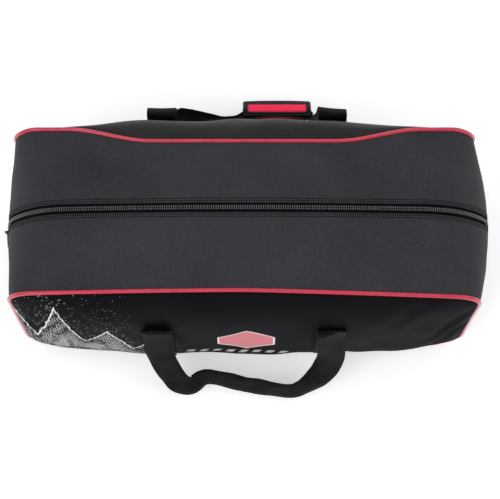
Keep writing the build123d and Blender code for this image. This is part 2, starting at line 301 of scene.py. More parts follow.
# %% The plain finish
def plain_finish(name, colour, roughness, metallic=0.0, coat=0.0, grain=0.0, shine=0.5):
    finish, tree, shader = new_finish(
        name, Roughness=roughness, Metallic=metallic, Coat_Weight=coat,
        Coat_Roughness=0.15, Specular_IOR_Level=shine,
    )
    place = tree.nodes.new("ShaderNodeTexCoord").outputs["Object"]
    speck = noise(tree, place, 60.0, 4.0)
    dark = [0.82 * part for part in colour]
    two_tones(tree, shader, speck, 0.35, dark, 0.65, colour)
    relief(tree, shader, speck, grain, 0.0004)
    return finish


# %% The finishes of this bag
gusset_cloth = weave_finish(
    "gusset_cloth", (0.0060, 0.0056, 0.0078), (0.046, 0.045, 0.053),
    thread=0.0009, roughness=0.62, bump=0.35, shine=0.14,
)
rear_cloth = weave_finish(
    "rear_cloth", (0.006, 0.006, 0.0065), (0.028, 0.027, 0.029),
    thread=0.0009, roughness=0.55, bump=0.3, shine=0.14,
)
webbing_cloth = weave_finish(
    "webbing_cloth", (0.0008, 0.0008, 0.0011), (0.0105, 0.0105, 0.0125),
    thread=0.0022, roughness=0.6, bump=1.0, shine=0.045,
)
tape_cloth = weave_finish(
    "tape_cloth", (0.004, 0.004, 0.005), (0.020, 0.020, 0.023),
    thread=0.0012, roughness=0.7, bump=0.5, shine=0.05,
)
binding_cloth = weave_finish(
    "binding_cloth", (0.0030, 0.0030, 0.0034), (0.014, 0.014, 0.0155),
    thread=0.0011, roughness=0.65, bump=0.4, shine=0.08,
)
grip_cloth = weave_finish(
    "grip_cloth", (0.42, 0.012, 0.035), (0.80, 0.035, 0.090),
    thread=0.0010, roughness=0.6, bump=0.35,
)
grip_ribs_cloth_painted_glow = weave_finish(
    "grip_ribs_cloth_painted_glow", (0.90, 0.018, 0.068), (1.0, 0.044, 0.125),
    thread=0.0008, roughness=0.5, bump=0.3, shine=0.08,
)
# Painted glow: the ribbed cover emits a little red light of its own, so that it shows
# brighter than the lamps make it.
grip_ribs_painted_glow = grip_ribs_cloth_painted_glow.node_tree.nodes["Principled BSDF"]
grip_ribs_painted_glow.inputs["Emission Color"].default_value = (1.0, 0.03, 0.09, 1)
grip_ribs_painted_glow.inputs["Emission Strength"].default_value = 0.16
print("woven finishes ready", len(bpy.data.materials))

# %% The plain finishes
piping_finish = plain_finish("piping_red", (0.66, 0.022, 0.065), 0.28, coat=0.5)
binding_finish = plain_finish("binding_black", (0.012, 0.012, 0.013), 0.6, grain=0.6)
# The coil's light grey is partly its own colour and partly painted glints of the lamps on
# it.
coil_glint_finish = plain_finish("coil_nylon_painted_glint", (0.24, 0.24, 0.25), 0.25)
metal_finish = plain_finish("painted_metal", (0.02, 0.02, 0.022), 0.35, 0.6)
board_finish = plain_finish("board_grey", (0.05, 0.05, 0.05), 0.8, grain=0.4)
zip_thread_finish = plain_finish("zip_thread", (0.0030, 0.0030, 0.0035), 0.8, shine=0.03)
# The zip edge is near-black: painted shade, the dark gap under the fold of the cloth over
# the tape.
zip_edge_shade_finish = plain_finish("zip_edge_painted_shade", (0.0015, 0.0015, 0.0018), 0.8, shine=0.03)
thread_finish = plain_finish("thread_dark", (0.030, 0.030, 0.033), 0.6)
print("finishes ready", len(bpy.data.materials))

# %% [markdown]
# The front panel carries a print: pale peaks with a halftone fill, a spatter of
# dots, a plain six-sided badge and a row of slanted dashes. It could be a
# picture on a UV map. Here each straight edge is one line in the panel's own
# plane, and a shape is where the smallest of its edge distances is above zero,
# so the print stays sharp at any distance.


# %% Shapes made of edge distances
def inside(tree, place, corners):
    """How deep a point is in a shape with the given corners (x, z), in metres."""
    centre = np.mean(corners, axis=0)
    nearest = None
    for a, b in zip(corners, corners[1:] + corners[:1]):
        a, b = np.array(a), np.array(b)
        normal = np.array([-(b - a)[1], (b - a)[0]]) / np.linalg.norm(b - a)
        if normal @ (centre - a) < 0:
            normal = -normal
        dot = add_node(
            tree, "ShaderNodeVectorMath", {0: place, 1: (normal[0], 0, normal[1])},
            operation="DOT_PRODUCT",
        )
        edge = math_node(tree, "SUBTRACT", dot.outputs["Value"], float(normal @ a))
        nearest = edge if nearest is None else math_node(tree, "MINIMUM", nearest, edge)
    return nearest


def union(tree, place, shapes):
    total = inside(tree, place, shapes[0])
    for shape in shapes[1:]:
        total = math_node(tree, "MAXIMUM", total, inside(tree, place, shape))
    return total


def band(tree, distance, low, high):
    above = math_node(tree, "GREATER_THAN", distance, low)
    below = math_node(tree, "LESS_THAN", distance, high)
    return math_node(tree, "MULTIPLY", above, below)


def paint(tree, under, mask, colour, strength=1.0):
    mix = add_node(tree, "ShaderNodeMix", data_type="RGBA")
    factor = math_node(tree, "MULTIPLY", mask, strength)
    tree.links.new(factor, mix.inputs["Factor"])
    tree.links.new(under, mix.inputs[6])
    mix.inputs[7].default_value = (*colour, 1)
    return mix.outputs[2]


def cells(tree, place, scale, randomness):
    values = {"Vector": place, "Scale": scale, "Randomness": randomness}
    return add_node(tree, "ShaderNodeTexVoronoi", values).outputs["Distance"]


# %% The printed finish of the front panel
outline_ink, fill_ink = (0.74, 0.73, 0.74), (0.46, 0.46, 0.46)
spatter_ink, dash_ink = (0.30, 0.30, 0.31), (0.60, 0.59, 0.60)
badge_ink, badge_rim = (0.72, 0.25, 0.28), (0.85, 0.82, 0.83)
badge_rim_wide = 0.0032


def printed_finish(name, peaks, badge, dashes):
    finish = weave_finish(
        name, (0.0026, 0.0025, 0.0031), (0.0092, 0.0088, 0.0108),
        thread=0.0009, roughness=0.7, bump=0.3, shine=0.035,
    )
    tree = finish.node_tree
    base = tree.nodes["Principled BSDF"].inputs["Base Color"]
    cloth_colour = base.links[0].from_socket
    place = tree.nodes.new("ShaderNodeTexCoord").outputs["Object"]

    wobble = noise(tree, place, 70.0, 3.0)
    shake = math_node(tree, "MULTIPLY_ADD", wobble, 0.010, -0.005)
    depth = math_node(tree, "ADD", union(tree, place, peaks), shake)
    size = math_node(tree, "MULTIPLY_ADD", depth, 5.0, 0.38)
    halftone = math_node(tree, "LESS_THAN", cells(tree, place, 210.0, 0.35), size)
    in_peak = math_node(tree, "GREATER_THAN", depth, 0.0)
    fill = math_node(tree, "MULTIPLY", in_peak, halftone)
    colour = paint(tree, cloth_colour, fill, fill_ink, 0.85)
    colour = paint(tree, colour, band(tree, depth, -0.0018, 0.0014), outline_ink)

    reach = math_node(tree, "MULTIPLY_ADD", depth, 2.8, 0.27, clamp=True)
    drops = math_node(tree, "LESS_THAN", cells(tree, place, 150.0, 1.0), reach)
    off_peak = math_node(tree, "LESS_THAN", depth, -0.004)
    spatter = math_node(tree, "MULTIPLY", drops, off_peak)
    colour = paint(tree, colour, spatter, spatter_ink, 0.8)

    badge_depth = inside(tree, place, badge)
    in_badge = math_node(tree, "GREATER_THAN", badge_depth, 0.0)
    colour = paint(tree, colour, in_badge, badge_ink, 0.95)
    rim = band(tree, badge_depth, 0.0, badge_rim_wide)
    colour = paint(tree, colour, rim, badge_rim)
    in_dash = math_node(tree, "GREATER_THAN", union(tree, place, dashes), 0.0)
    colour = paint(tree, colour, in_dash, dash_ink, 0.9)
    tree.links.new(colour, base)
    return finish


# %% The shapes of the print
peak_foot = 0.050
peaks = [
    [(left, peak_foot), (tip_x, tip_z), (right, peak_foot)]
    for left, tip_x, tip_z, right in (
        (-0.396, -0.325, 0.305, -0.262),
        (-0.345, -0.240, 0.222, -0.185),
        (-0.404, -0.404, 0.262, -0.350),
        (-0.240, -0.168, 0.150, -0.122),
    )
]
badge = [
    (-0.048, 0.196), (0.003, 0.232), (0.054, 0.196), (0.054, 0.146),
    (0.003, 0.108), (-0.048, 0.146),
]
dash_low, dash_high, dash_wide, dash_slant = 0.078, 0.098, 0.013, 0.007
dashes = [
    [(x, dash_low), (x + dash_wide, dash_low),
     (x + dash_wide + dash_slant, dash_high), (x + dash_slant, dash_high)]
    for x in np.arange(-0.108, 0.080, 0.024)
]
panel_print = printed_finish("panel_print", peaks, badge, dashes)
print("print made of", len(panel_print.node_tree.nodes), "nodes")

# %% [markdown]
# The seams and the strip between them are one family of closed loops: rounded
# rectangles seen from the front, with the same number of points in each part.
# A loop through the middle of the strip stands prouder than the seams, and a
# curve through the three gives the cloth its crown. On the full bag the seams
# are not straight: the zip pulls the strip in along the middle, and it widens
# towards the ends.

# %% The three loops round the bag
parts = {
    "top": 132, "top right": 16, "right": 24, "low right": 10,
    "bottom": 60, "low left": 10, "left": 24, "top left": 16,
}
loop_count = sum(parts.values())
starts = dict(zip(parts, np.cumsum([0] + list(parts.values()))[:-1]))


def rounded_loop(half, low, high, low_radius, high_radius):
    """Points (x, z) round a rectangle, from the left end of its top run. Rows on
    the top run have the same x on every loop, so a cut across them is straight."""

    def line(a, b, count):
        share = np.arange(count)[:, None] / count
        return np.array(a) * (1 - share) + np.array(b) * share

    def arc(x, z, radius, first, last, count):
        angle = np.radians(first + (last - first) * np.arange(count) / count)
        return np.stack([x + radius * np.cos(angle), z + radius * np.sin(angle)], 1)

    top_x, low_x = half - high_radius, half - low_radius
    high_z, low_z = high - high_radius, low + low_radius
    top = line((-run_half, high), (run_half, high), parts["top"])
    past = np.maximum(np.abs(top[:, 0]) - top_x, 0)
    top[:, 1] = high_z + np.sqrt(high_radius**2 - past**2)
    bend = math.degrees(math.acos((run_half - top_x) / high_radius))
    return np.vstack([
        top,
        arc(top_x, high_z, high_radius, bend, 0, parts["top right"]),
        line((half, high_z), (half, low_z), parts["right"]),
        arc(low_x, low_z, low_radius, 0, -90, parts["low right"]),
        line((low_x, low), (-low_x, low), parts["bottom"]),
        arc(-low_x, low_z, low_radius, -90, -180, parts["low left"]),
        line((-half, low_z), (-half, high_z), parts["left"]),
        arc(-top_x, high_z, high_radius, 180, 180 - bend, parts["top left"]),
    ])


panel_corner = 0.045
run_half = seam_half - panel_corner
crown_mid = crown_z + 0.006
crown_drop, crown_run = 0.008, 0.264
middle_corner = 0.110
right_reach = 0.008
left_reach = 0.0045


front_pull, front_widening, front_skew = 0.1364, 0.0100, 0.0035
rear_pull, rear_widening, rear_corner_pull = 0.1305, 0.0215, 0.003


def seam_loop(side):
    loop = rounded_loop(seam_half, seam_bottom, seam_top, panel_corner, panel_corner)
    x, z = np.abs(loop[:, 0]), loop[:, 1]
    if side < 0:
        pulled = front_pull + front_widening * (x / seam_half) ** 1.3
        pulled += front_skew * loop[:, 0] / seam_half
    else:
        pulled = rear_pull + rear_widening * ease(x, 0.16, 0.31)
        pulled -= rear_corner_pull * ease(x, 0.365, seam_half)
    height = ease(z, 0.12, 0.31)
    y = side * (seam_y * (1 - height) + pulled * height)
    return np.stack([loop[:, 0], y, loop[:, 1]], axis=1)


def middle_loop():
    loop = rounded_loop(end_x, 0.0, crown_mid, panel_corner, middle_corner)
    x, z = loop[:, 0], loop[:, 1].copy()
    z -= crown_drop * (np.abs(x) / crown_run) ** 2 * ease(z, 0.20, crown_mid)
    for way, reach in ((1, right_reach), (-1, left_reach)):
        x = x + reach * ease(way * x, 0.28, end_x) * ease(z, 0.0, 0.15)
    return np.stack([x, 0 * x, z], axis=1)


front_seam, rear_seam, middle = seam_loop(-1), seam_loop(1), middle_loop()
print("loop points", loop_count)

# %% The cloth strip as one surface, cut into pieces later
slot_half, strip_half = 0.0080, 0.133
half_columns = 15
edge_share = slot_half / strip_half
across = np.concatenate([
    np.linspace(-1, -edge_share, half_columns),
    [0.0],
    np.linspace(edge_share, 1, half_columns),
])
columns = len(across)


def strip_points(shares):
    v = np.asarray(shares)[None, :, None]
    return (
        front_seam[:, None] * v * (v - 1) / 2
        + middle[:, None] * (1 - v * v)
        + rear_seam[:, None] * v * (v + 1) / 2
    )


def strip_normals(points):
    down = np.roll(points, -1, axis=0) - np.roll(points, 1, axis=0)
    over = np.gradient(points, axis=1)
    return unit(np.cross(down, over))


strip = strip_points(across)
strip_out = strip_normals(strip)
middle_of_bag = np.array([0, 0, seam_top / 2])
if np.mean(np.sum(strip_out * (strip - middle_of_bag), axis=2)) < 0:
    strip_out = -strip_out
flat_points = strip.reshape(-1, 3)
sway = (
    0.0016 * ripples(flat_points, 0.16, 3) + 0.0006 * ripples(flat_points, 0.055, 4)
).reshape(strip.shape[:2])
calm = (1 - np.abs(across) ** 6) * (0.25 + 0.75 * ease(np.abs(across), 0.05, 0.4))
above_floor = ease(strip[:, :, 2], 0.004, 0.05)
pinch_deep, pinch_long, pinch_wide, pinch_at = 0.0050, 0.055, 0.11, -0.84
pinch_x = (-0.285, 0.265)
pinch = pinch_deep * np.exp(-(((across - pinch_at) / pinch_wide) ** 2))[None] * sum(
    np.exp(-(((strip[:, :, 0] - x) / pinch_long) ** 2)) for x in pinch_x
) * ease(strip[:, :, 2], 0.25, 0.32)
strip = strip + strip_out * (sway * calm * above_floor - pinch)[:, :, None]
strip_shade = strip_normals(strip)
if np.mean(np.sum(strip_shade * strip_out, axis=2)) < 0:
    strip_shade = -strip_shade
strip_length = along(np.vstack([middle, middle[:1]]))
strip_uv = spread(strip_length[:loop_count], across * 0.15).reshape(*strip.shape[:2], 2)
print("strip grid", strip.shape)


# %% Cut a piece out of the strip
cloth_thick = 0.0016


def strip_piece(name, rows, column_range, skip=None):
    rows = [r % loop_count for r in rows]
    first, last = column_range
    width = last - first
    points = strip[rows][:, first:last].reshape(-1, 3)
    faces = grid_faces(len(rows), width)
    if skip is not None:
        faces = [f for f in faces if not skip(points[list(f)], f[0] % width + first)]
    uv = strip_uv[rows][:, first:last].reshape(-1, 2)
    piece = make_piece(name, points, faces, gusset_cloth, uv)
    lengthwise, sideways = points[width] - points[0], points[1] - points[0]
    if np.dot(np.cross(lengthwise, sideways), strip_out[rows[0], first]) < 0:
        piece.data.flip_normals()
    thicken(piece, cloth_thick)
    shade_as(piece, strip_shade[rows][:, first:last].reshape(-1, 3))
    return piece


corner_x = 0.262
top_x = middle[: parts["top"], 0]
first_corner = int(np.argmin(np.abs(top_x + corner_x)))
last_corner = int(np.argmin(np.abs(top_x - corner_x)))
corner_x = float(middle[last_corner, 0])
past_corner = 7
right_cut = starts["top right"] + past_corner
left_cut = starts["top left"] + parts["top left"] - past_corner


def flap_blend(piece):
    """Bakes the piece's placement into its mesh."""
    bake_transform(piece)


cloth_pieces = []
runs = {
    "middle": (0, range(first_corner, last_corner + 1)),
    "right": (1, range(last_corner, right_cut + 1)),
    "left": (-1, range(left_cut, loop_count + first_corner + 1)),
}
for side, side_name in side_names.items():
    span = (0, half_columns) if side < 0 else (half_columns + 1, columns)
    for run_name, (corner, rows) in runs.items():
        piece = strip_piece(f"top_{side_name}_{run_name}", rows, span)
        cloth_pieces.append((piece, side, corner))
        print(piece.name, len(piece.data.polygons))


def in_slot(corners, column):
    between = half_columns - 1 <= column <= half_columns
    return between and np.max(corners[:, 2]) > tail_low


gusset = strip_piece(
    "gusset_body", range(right_cut, left_cut + 1), (0, columns), in_slot
)
print("gusset", len(gusset.data.polygons), "faces")

# %% [markdown]
# Each side panel is a flat rounded rectangle whose edge follows its seam, and
# which swells where the bag is full. A patch between the four edges gives the
# flat part, a steep-shouldered dome gives the swell, and a few folds run in
# from the corners, where the full bag pulls at its seams.


# %% The side panels
def edge_line(loop, first, last, count):
    rows = [r % loop_count for r in range(first, last + 1)]
    return even(loop[rows], count)


def panel_patch(loop, wide, tall):
    cut = {
        name: starts[name] + parts[name] // 2
        for name in ("top right", "low right", "low left", "top left")
    }
    top = edge_line(loop, cut["top left"], loop_count + cut["top right"], wide)
    right = edge_line(loop, cut["top right"], cut["low right"], tall)[::-1]
    low = edge_line(loop, cut["low right"], cut["low left"], wide)[::-1]
    left = edge_line(loop, cut["low left"], cut["top left"], tall)
    u = np.linspace(0, 1, wide)[None, :, None]
    v = np.linspace(0, 1, tall)[:, None, None]
    sides = (1 - u) * left[:, None] + u * right[:, None]
    ends = (1 - v) * low[None] + v * top[None]
    corners = (1 - u) * ((1 - v) * low[0] + v * top[0]) + u * (
        (1 - v) * low[-1] + v * top[-1]
    )
    return sides + ends - corners


panel_wide, panel_tall = 150, 64


def swell(wide, tall, top_power, flat_ends):
    """How far out the panel stands, from 0 at the seam to 1 at its face."""
    u = np.abs(np.linspace(-1, 1, wide))[None, :]
    v = np.linspace(-1, 1, tall)[:, None]
    upright = np.where(v > 0, np.abs(v) ** top_power, np.abs(v) ** 5)
    lengthwise = (1 - u**6) ** 0.65 * (1 - flat_ends * ease(u, 0.40, 0.93))
    return lengthwise * (1 - upright) ** 0.5


def crease(points, start, end, depth, width):
    """A fold in the cloth from start to end (x, z): a dent with a raised lip."""
    a, b = np.array(start), np.array(end)
    way = (b - a) / np.linalg.norm(b - a)
    away = np.array([-way[1], way[0]])
    offset = points[:, [0, 2]] - a
    run = offset @ way / np.linalg.norm(b - a)
    gap = (offset @ away + 0.006 * np.sin(run * 5)) / width
    ends = ease(run, -0.1, 0.25) * (1 - ease(run, 0.6, 1.1))
    return depth * ends * (0.7 * np.exp(-((gap - 1.1) ** 2)) - np.exp(-(gap**2)))


def side_panel(name, loop, side, face, finish, seed, top_power, flat_ends, creases):
    patch = panel_patch(loop, panel_wide, panel_tall)
    dome = swell(panel_wide, panel_tall, top_power, flat_ends)
    flat = patch.reshape(-1, 3)
    soft = 0.0020 * ripples(flat, 0.19, seed) + 0.0008 * ripples(flat, 0.06, seed + 1)
    for start, end, depth, width in creases:
        soft += crease(flat, start, end, depth, width)
    soft = soft.reshape(dome.shape) * np.minimum(1, 2.2 * dome)
    patch[:, :, 1] = patch[:, :, 1] * (1 - dome) + face * dome + side * soft
    points = patch.reshape(-1, 3)
    uv = points[:, [0, 2]]
    faces = grid_faces(panel_tall, panel_wide, flip=side < 0)
    return make_piece(name, points, faces, finish, uv)


front_creases = [
    ((0.402, 0.300), (0.318, 0.090), 0.0065, 0.011),
    ((0.400, 0.200), (0.335, 0.040), 0.0055, 0.010),
    ((-0.400, 0.275), (-0.330, 0.130), 0.0050, 0.012),
    ((-0.398, 0.120), (-0.300, 0.030), 0.0050, 0.011),
    ((0.300, 0.325), (0.255, 0.240), 0.0030, 0.014),
    ((-0.290, 0.325), (-0.245, 0.250), 0.0025, 0.014),
]
rear_creases = [
    ((0.400, 0.290), (0.300, 0.120), 0.0055, 0.012),
    ((-0.400, 0.290), (-0.310, 0.100), 0.0055, 0.012),
    ((-0.395, 0.110), (-0.290, 0.030), 0.0045, 0.011),
    ((0.395, 0.120), (0.300, 0.035), 0.0045, 0.011),
]
front_panel = side_panel(
    "front_panel_cloth", front_seam, -1, front_face, panel_print, 11, 3.2, 0.15,
    front_creases,
)
rear_panel = side_panel(
    "rear_panel_cloth", rear_seam, 1, rear_face, rear_cloth, 21, 3.2, 0.66,
    rear_creases,
)
surfaces = {}
for side, piece in ((-1, front_panel), (1, rear_panel)):
    surfaces[side] = BVHTree.FromPolygons(
        [v.co.copy() for v in piece.data.vertices],
        [tuple(p.vertices) for p in piece.data.polygons],
    )


def panel_y(side, x, z):
    hit = surfaces[side].ray_cast(Vector((x, side * 1.0, z)), Vector((0, -side, 0)))
    return hit[0].y


print("panels bulge to", panel_y(-1, 0, 0.17), "and", panel_y(1, 0, 0.17))
thicken(front_panel, cloth_thick)
thicken(rear_panel, cloth_thick)

# %% [markdown]
# Piping is a cord in a strip of red plastic, sewn into the seam. Its flange is
# hidden between the cloths, so a round tube along the seam loop is enough. A
# curve with a bevel could make it too; a tube built from rings has its points
# in a known order.


# %% Swept tubes
def face_outwards(piece):
    """Turns a closed mesh right side out by the sign of its volume."""
    volume = 0.0
    points = [v.co for v in piece.data.vertices]
    for face in piece.data.polygons:
        corners = [points[i] for i in face.vertices]
        for second, third in zip(corners[1:], corners[2:]):
            volume += corners[0].dot(second.cross(third))
    if volume < 0:
        piece.data.flip_normals()
    return piece


def tube(name, line, radius, finish, sides=12, closed=False, squeeze=1.0):
    """A round tube along a line; squeeze flattens it one way."""
    line = np.asarray(line, float)
    if closed:
        forward = unit(np.roll(line, -1, axis=0) - np.roll(line, 1, axis=0))
    else:
        forward = unit(np.gradient(line, axis=0))
    tilt = 1e-6 * np.random.default_rng(1).normal(size=3)
    first = unit(np.cross(forward, np.array([0.0, 1.0, 0.0]) + tilt))
    second = np.cross(forward, first)
    angle = np.linspace(0, 2 * math.pi, sides, endpoint=False)
    ring = (
        first[:, None] * np.cos(angle)[None, :, None]
        + second[:, None] * np.sin(angle)[None, :, None] * squeeze
    )
    faces = grid_faces(len(line), sides, close_rows=closed, close_columns=True)
    if not closed:
        faces += end_caps(len(line), sides)
    return face_outwards(make_piece(name, line[:, None] + ring * radius, faces, finish))


# %% Piping
cord_radius = piping_radius * 1.25
pipings = {}
for side, seam in ((-1, front_seam), (1, rear_seam)):
    name = f"{side_names[side]}_piping_cord"
    pipings[side] = tube(name, seam, cord_radius, piping_finish, closed=True)
print("piping", len(pipings[-1].data.polygons))

# %% [markdown]
# Webbing is a flat woven strap. It is swept along a line with a direction for
# its width at each point, so it can lie flat, hang and twist. Its section has
# rounded edges. A hanging strap also cups a little and crumples a little along
# its loose part, as it does when it has been carried.


# %% Webbing
strap_thick = 0.0025
shoulder = (0.985, 0.7)


def strap_section():
    """Half widths and half thicknesses round a strap, from -1 to 1."""
    wide, thick = shoulder
    flat = wide * np.linspace(-0.5, 0.5, 5)
    return np.array(
        [(-1.0, 0.0), (-wide, thick)] + [(a, 1.0) for a in flat]
        + [(wide, thick), (1.0, 0.0), (wide, -thick)]
        + [(a, -1.0) for a in flat[::-1]] + [(-wide, -thick)]
    )


def ribbon(name, line, width_way, width, thickness, finish, cup=0.0, crumple=0.0):
    line, width_way = np.asarray(line, float), unit(width_way)
    forward = unit(np.gradient(line, axis=0))
    tilted = np.sum(forward * width_way, axis=1, keepdims=True)
    width_way = unit(width_way - forward * tilted)
    out = np.cross(forward, width_way)
    section = strap_section()
    across_way = section[:, 0][None, :, None] * width / 2
    through = section[:, 1][None, :, None] * thickness / 2
    through = through + cup * (1 - section[:, 0] ** 2)[None, :, None]
    flat = line[:, None] + width_way[:, None] * across_way
    folds = ripples(flat.reshape(-1, 3), 0.042, 31).reshape(flat.shape[:2])
    length = along(line)
    share = length / length[-1]
    loose = crumple * ease(share, 0.06, 0.16) * (1 - ease(share, 0.84, 0.94))
    points = flat + out[:, None] * through
    points += out[:, None] * (folds * loose[:, None])[..., None]
    rows, sides = points.shape[:2]
    faces = grid_faces(rows, sides, close_columns=True) + end_caps(rows, sides)
    uv = spread(length, section[:, 0] * width / 2)
    return face_outwards(make_piece(name, points, faces, finish, uv))


# %% Sewn straps
handle_hinge_y = {-1: -0.1917, 1: 0.2047}
strap_rows = 40
webbing_lift, tuck = 0.0022, 0.001
fold_long = 0.030
sewn_straps = []
for side, side_name in side_names.items():
    for x, x_name in zip(strap_places[side], ("left", "right")):
        heights = np.linspace(webbing_foot, fold_z, strap_rows)
        line = np.array([
            (x, panel_y(side, x, z) + side * webbing_lift, z) for z in heights
        ])
        lift = ease(heights, fold_z - fold_long, fold_z)
        tucked = handle_hinge_y[side] - side * tuck
        line[:, 1] = line[:, 1] * (1 - lift) + tucked * lift
        piece = ribbon(
            f"{side_name}_{x_name}_sewn_webbing", line,
            np.tile([1.0, 0, 0], (strap_rows, 1)), strap_width, strap_thick, webbing_cloth,
        )
        sewn_straps.append((piece, f"{side_name}_{x_name}_strap"))
print("sewn straps", len(sewn_straps))

# %% [markdown]
# A hanging handle is a length of the same webbing. Its path is a smooth line through listed
# knots, in millimetres. A strap turns over as it hangs, so its width is first carried along
# the path without any turning, and then turned by a few angles in degrees, each at a share
# of its length.


# %% The two hanging handles
handle_steps = 230
handle_cup, handle_crumple = 0.0012, 0.0008


def hang(name, knots, twists):
    line = smooth_path(np.array(knots) / 1000, handle_steps)
    forward = unit(np.gradient(line, axis=0))
    width_way = [np.array([1.0, 0.0, 0.0])]
    for step in forward[1:]:
        carried = width_way[-1] - step * (step @ width_way[-1])
        width_way.append(carried / np.linalg.norm(carried))
    width_way = np.array(width_way)
    share = along(line) / along(line)[-1]
    last_normal = np.cross(forward[-1], width_way[-1])
    left_over = -math.degrees(math.atan(last_normal[0] / width_way[-1][0]))
    print(name, "closes with a turn of", round(left_over, 1))
    twist = np.interp(share, *zip(*twists)) - left_over * ease(share, 0.2, 0.8)
    turn = np.radians(twist)[:, None]
    normal = np.cross(forward, width_way)
    width_way = width_way * np.cos(turn) + normal * np.sin(turn)
    return ribbon(
        name, line, width_way, strap_width, strap_thick, webbing_cloth,
        handle_cup, handle_crumple,
    )


front_knots = [
    (-152, -190.4, 264.2), (-152, -193.2, 265.6), (-152, -195.6, 262), (-151, -199, 228),
    (-150, -209, 172), (-139, -225, 120), (-119, -243, 74), (-97, -244, 55),
    (-76, -230, 56), (-50, -231, 56), (9, -243, 50), (80, -253, 46), (105, -248, 50),
    (126, -238, 62), (143, -225, 88), (153, -214, 130), (154, -208, 174),
    (152, -199, 228), (152, -195.6, 262), (152, -193.2, 265.6), (152, -190.4, 264.2),
]
front_twists = [
    (0, 0), (0.28, 0), (0.35, -26), (0.43, -22), (0.52, -20), (0.60, -12),
    (0.65, -14), (0.71, -30), (0.78, -30), (0.85, -14), (0.92, 0), (1, 0),
]
front_handle = hang("front_handle_webbing_loop", front_knots, front_twists)
rear_knots = [
    (-149.5, 203.3, 264.2), (-149.5, 206.4, 265.7), (-149.5, 210, 265.5),
    (-149.5, 222, 253), (-149.5, 232, 226), (-149, 240, 188), (-148, 248, 146),
    (-141, 257, 112), (-122, 265, 92), (-98, 267, 81), (-60, 265, 77), (-32, 264, 76),
    (-14, 267, 76), (2, 277, 78), (16, 283, 79), (55, 283, 79), (108, 282, 78),
    (122, 276, 75), (136, 267, 76), (149, 259, 94), (155, 256, 120), (158, 251, 152),
    (158, 242, 188), (158, 232, 226), (158, 222, 253), (158, 210, 265.5),
    (158, 206.4, 265.7), (158, 203.3, 264.2),
]
rear_twists = [
    (0, 0), (0.09, 0), (0.19, -24), (0.28, -46), (0.32, -42), (0.365, -28),
    (0.41, -22), (0.485, -20), (0.51, 18), (0.62, 18), (0.655, -30), (0.70, -18),
    (0.77, 0), (1, 0),
]
rear_handle = hang("rear_handle_webbing_loop", rear_knots, rear_twists)
print("handles", len(front_handle.data.polygons))

# %% [markdown]
# The grip is a padded wrap round the rear handle's webbing. Its section is a
# rounded slab that leans outwards as the handle hangs. A red cloth covers its
# inner side. On the outer side a flap with a ribbed red cover closes it, and
# moves on a body of its own, because it opens. Each cloth has a black binding.

# %% The grip's section
grip_low, grip_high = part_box("grip_sleeve")
grip_left, grip_right = grip_low.x + 0.0045, grip_high.x + 0.0075
grip_centre = np.array([0, (grip_low.y + grip_high.y) / 2 + 0.012, 0.079])
grip_lean = math.radians(42)
grip_up = np.array([0, -math.sin(grip_lean), math.cos(grip_lean)])
grip_out = np.array([0, math.cos(grip_lean), math.sin(grip_lean)])
grip_half_wide, grip_half_thick = 0.0295, 0.0130
slab_power = 0.68


def grip_ring(grow, count=220):
    angle = np.linspace(-math.pi, math.pi, count)
    a = np.sign(np.cos(angle)) * np.abs(np.cos(angle)) ** slab_power
    b = np.sign(np.sin(angle)) * np.abs(np.sin(angle)) ** slab_power
    ring = (
        grip_centre
        + np.outer(a * (grip_half_wide + grow), grip_up)
        + np.outer(b * (grip_half_thick + grow), grip_out)
    )
    length = along(ring)
    return ring, length - length[count // 2]


def on_grip(round_way, grow):
    """Points on the grip's skin, by distance round it from the top edge."""
    ring, length = grip_ring(grow)
    return np.stack([np.interp(round_way, length, ring[:, i]) for i in range(3)], -1)


def from_middle(x):
    """-1 at the grip's left end, 0 at its middle and 1 at its right end."""
    return (2 * x - grip_left - grip_right) / (grip_right - grip_left)


def grip_girth(x):
    share = np.abs(from_middle(x))
    return -0.0012 * share**3 - 0.0022 * ease(share, 0.965, 1.0)


# %% A sheet of cloth on the grip, with its binding
sheet_long, sheet_round = 60, 64
rib_high, rib_half = 0.0022, 0.0023
grip_cloth_thick = 0.0012
binding_points, binding_radius = 260, 0.0019


def grip_sheet(name, first, last, grow, finish, body, ribs=(), ends=0.0, curve=0.0):
    xs = np.linspace(grip_left + ends, grip_right - ends, sheet_long)
    ways = np.linspace(first, last, sheet_round)
    points = []
    for x in xs:
        bow = curve * (1 - from_middle(x) ** 2)
        way = ways + bow * (ways - first) / (last - first)
        raised = sum(
            (rib_high * np.exp(-(((way - rib) / rib_half) ** 2)) for rib in ribs),
            np.zeros(len(way)),
        )
        row = on_grip(way, grow + grip_girth(x))
        core = grip_centre + 0.55 * np.outer((row - grip_centre) @ grip_up, grip_up)
        row = row + unit(row - core) * raised[:, None]
        row[:, 0] = x
        points.append(row)
    points = np.array(points)
    faces = grid_faces(sheet_long, sheet_round)
    piece = make_piece(name, points, faces, finish, spread(xs, ways))
    face = piece.data.polygons[len(faces) // 2]
    if face.normal.dot(face.center - Vector((face.center.x, *grip_centre[1:]))) < 0:
        piece.data.flip_normals()
    thicken(piece, grip_cloth_thick, offset=1.0)
    edge = np.vstack([
        points[:, 0], points[-1, 1:-1], points[::-1, -1], points[0, -2:0:-1],
        points[:1, 0],
    ])
    trim = tube(
        name + "_binding", even(edge, binding_points + 1)[:-1], binding_radius,
        binding_finish, sides=8, closed=True,
    )
    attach(piece, body)
    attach(trim, body)
    return piece, trim


# %% The grip's pad
pad_sides, pad_inset, pad_bulge = 96, 0.0006, 0.002
pad_shrinks = (0.86, 0.55, 0.2)
pad_rows = []
for x in np.linspace(grip_left, grip_right, 56):
    ring = grip_ring(grip_girth(x) - pad_inset, pad_sides + 1)[0][:-1]
    ring[:, 0] = x
    pad_rows.append(ring)


